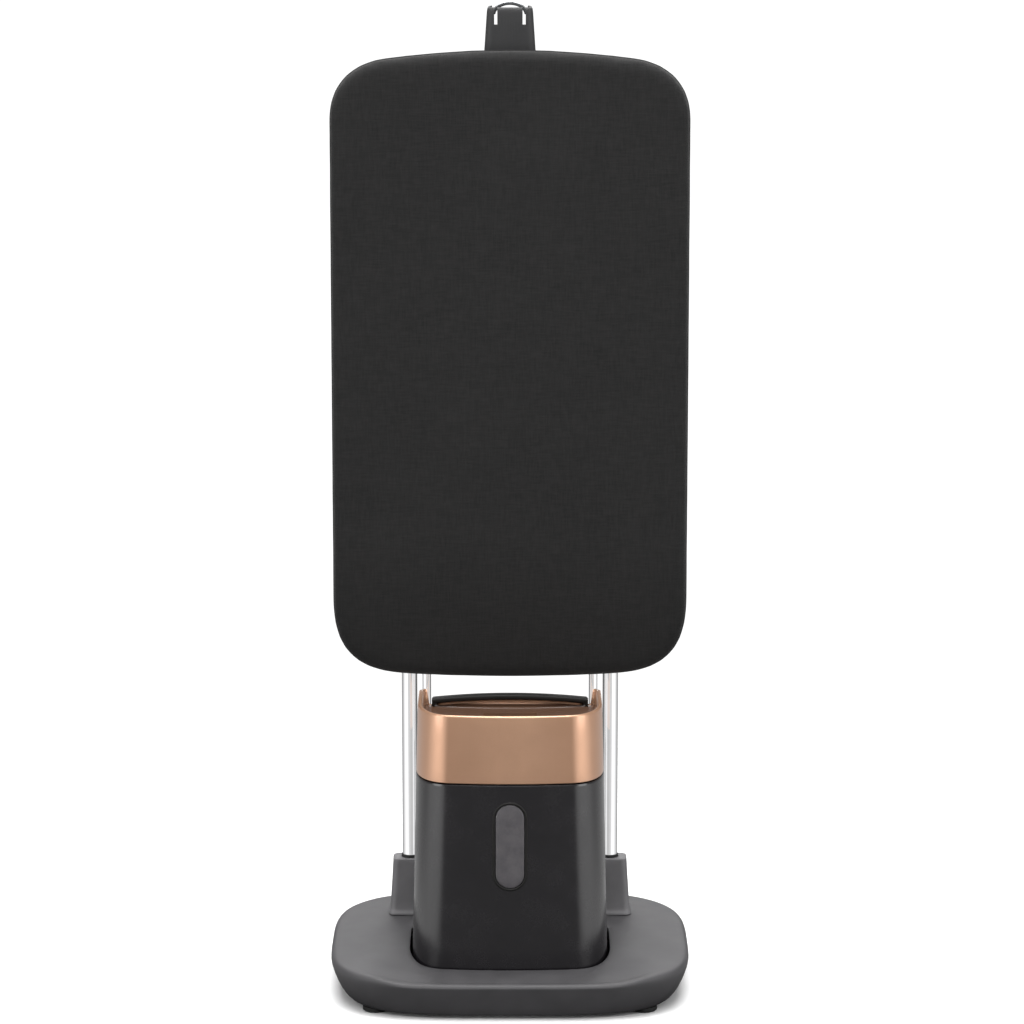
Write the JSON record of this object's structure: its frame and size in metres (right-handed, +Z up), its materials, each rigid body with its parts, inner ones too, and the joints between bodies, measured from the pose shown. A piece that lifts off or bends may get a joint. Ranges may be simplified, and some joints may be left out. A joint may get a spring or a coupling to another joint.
{
  "type": "garment steaming and pressing stand",
  "caption": "Upright padded pressing board on telescopic poles above a steam generator with a lift-out water tank; the board rises, tilts flat and locks.",
  "frame": {"origin": "on the floor, at the middle of the base's footprint", "axes": "+Z up, -Y towards the user at the front, +X to the right as seen from the front"},
  "size_m": [0.406, 0.362, 1.103],
  "materials": {
    "cover_fabric": "woven heat-proof cover cloth, near black",
    "pad_felt": "thick felt padding",
    "panel_plastic": "textured black moulding",
    "grey_plastic": "fine-grained mid grey moulding",
    "black_plastic": "satin black moulding",
    "copper_paint": "satin metallic copper",
    "chrome": "polished",
    "steel": "plain",
    "rubber": "matt black",
    "smoke_clear": "smoke-tinted clear plastic",
    "brass": "plain",
    "circuit_board": "green laminate"
  },
  "bodies": {
    "stand": {"base_cover": "grey_plastic", "base_tray": "black_plastic", "ballast_plate": "steel", "foot_front_left": "rubber", "foot_front_right": "rubber", "foot_rear_left": "rubber", "foot_rear_right": "rubber", "pole_socket_left": "grey_plastic", "pole_socket_right": "grey_plastic", "lower_pole_left": "chrome", "lower_pole_right": "chrome", "stay_rod_left": "chrome", "stay_rod_right": "chrome", "pole_bridge": "black_plastic", "generator_housing": "black_plastic", "housing_back": "black_plastic", "water_window": "smoke_clear", "steam_outlet": "brass", "boiler": "steel", "heating_element": "steel", "steam_pump": "black_plastic", "steam_valve": "brass", "control_board": "circuit_board", "tank_shelf": "black_plastic", "power_cord": "rubber", "cord_grip": "rubber", "power_plug": "rubber"},
    "descale_plug": {"descale_cap": "grey_plastic"},
    "tank": {"tank_cap": "copper_paint", "tank_handle": "black_plastic", "water_tank": "smoke_clear", "tank_valve": "rubber"},
    "filler": {"filler_flap": "black_plastic"},
    "button": {"power_button": "grey_plastic"},
    "lock_left": {"height_lock_lever_left": "grey_plastic"},
    "lock_right": {"height_lock_lever_right": "grey_plastic"},
    "carriage": {"upper_pole_left": "chrome", "upper_pole_right": "chrome", "hinge_head": "black_plastic", "pivot_shaft": "steel", "detent_disc_left": "steel", "detent_disc_right": "steel"},
    "board": {"board_cover": "cover_fabric", "board_pad": "pad_felt", "board_panel": "panel_plastic", "board_bracket_left": "steel", "board_bracket_right": "steel", "lever_mount": "black_plastic", "iron_rest": "grey_plastic", "rest_strap": "steel", "bracket_screw_upper_left": "steel", "bracket_screw_upper_right": "steel", "bracket_screw_lower_left": "steel", "bracket_screw_lower_right": "steel"},
    "lever": {"tilt_lever": "grey_plastic"},
    "bolt_left": {"latch_bolt_left": "steel"},
    "bolt_right": {"latch_bolt_right": "steel"}
  },
  "joints": [
    {"name": "carriage_lift", "type": "slide", "parent": "stand", "child": "carriage", "axis": [0, 0, 1], "range_m": [0, 0.25]},
    {"name": "board_tilt", "type": "hinge", "parent": "carriage", "child": "board", "pos_m": [0, 0.087, 0.7], "axis": [-1, 0, 0], "range_deg": [0, 90]},
    {"name": "tilt_lever_swing", "type": "hinge", "parent": "board", "child": "lever", "pos_m": [0, 0.0645, 0.648], "axis": [-1, 0, 0], "range_deg": [0, 12]},
    {"name": "bolt_left_slide", "type": "slide", "parent": "board", "child": "bolt_left", "axis": [-1, 0, 0], "range_m": [0, 0.005]},
    {"name": "bolt_right_slide", "type": "slide", "parent": "board", "child": "bolt_right", "axis": [1, 0, 0], "range_m": [0, 0.005]},
    {"name": "height_lock_left", "type": "hinge", "parent": "stand", "child": "lock_left", "pos_m": [-0.1455, 0.087, 0.556], "axis": [0, 1, 0], "range_deg": [0, 75]},
    {"name": "height_lock_right", "type": "hinge", "parent": "stand", "child": "lock_right", "pos_m": [0.1455, 0.087, 0.556], "axis": [0, -1, 0], "range_deg": [0, 75]},
    {"name": "tank_lift_out", "type": "slide", "parent": "stand", "child": "tank", "axis": [0, 0, 1], "range_m": [0, 0.2]},
    {"name": "filler_flap_open", "type": "hinge", "parent": "tank", "child": "filler", "pos_m": [0, -0.034, 0.313], "axis": [-1, 0, 0], "range_deg": [0, 70]},
    {"name": "power_button_press", "type": "slide", "parent": "stand", "child": "button", "axis": [0, 0, -1], "range_m": [0, 0.003], "stiffness_N_per_m": 600},
    {"name": "descale_cap_out", "type": "slide", "parent": "stand", "child": "descale_plug", "axis": [0, 1, 0], "range_m": [0, 0.05]}
  ],
  "couplings": [
    {"joint": "bolt_left_slide", "follows": "tilt_lever_swing", "m_per_rad": 0.0238},
    {"joint": "bolt_right_slide", "follows": "tilt_lever_swing", "m_per_rad": 0.0238}
  ]
}
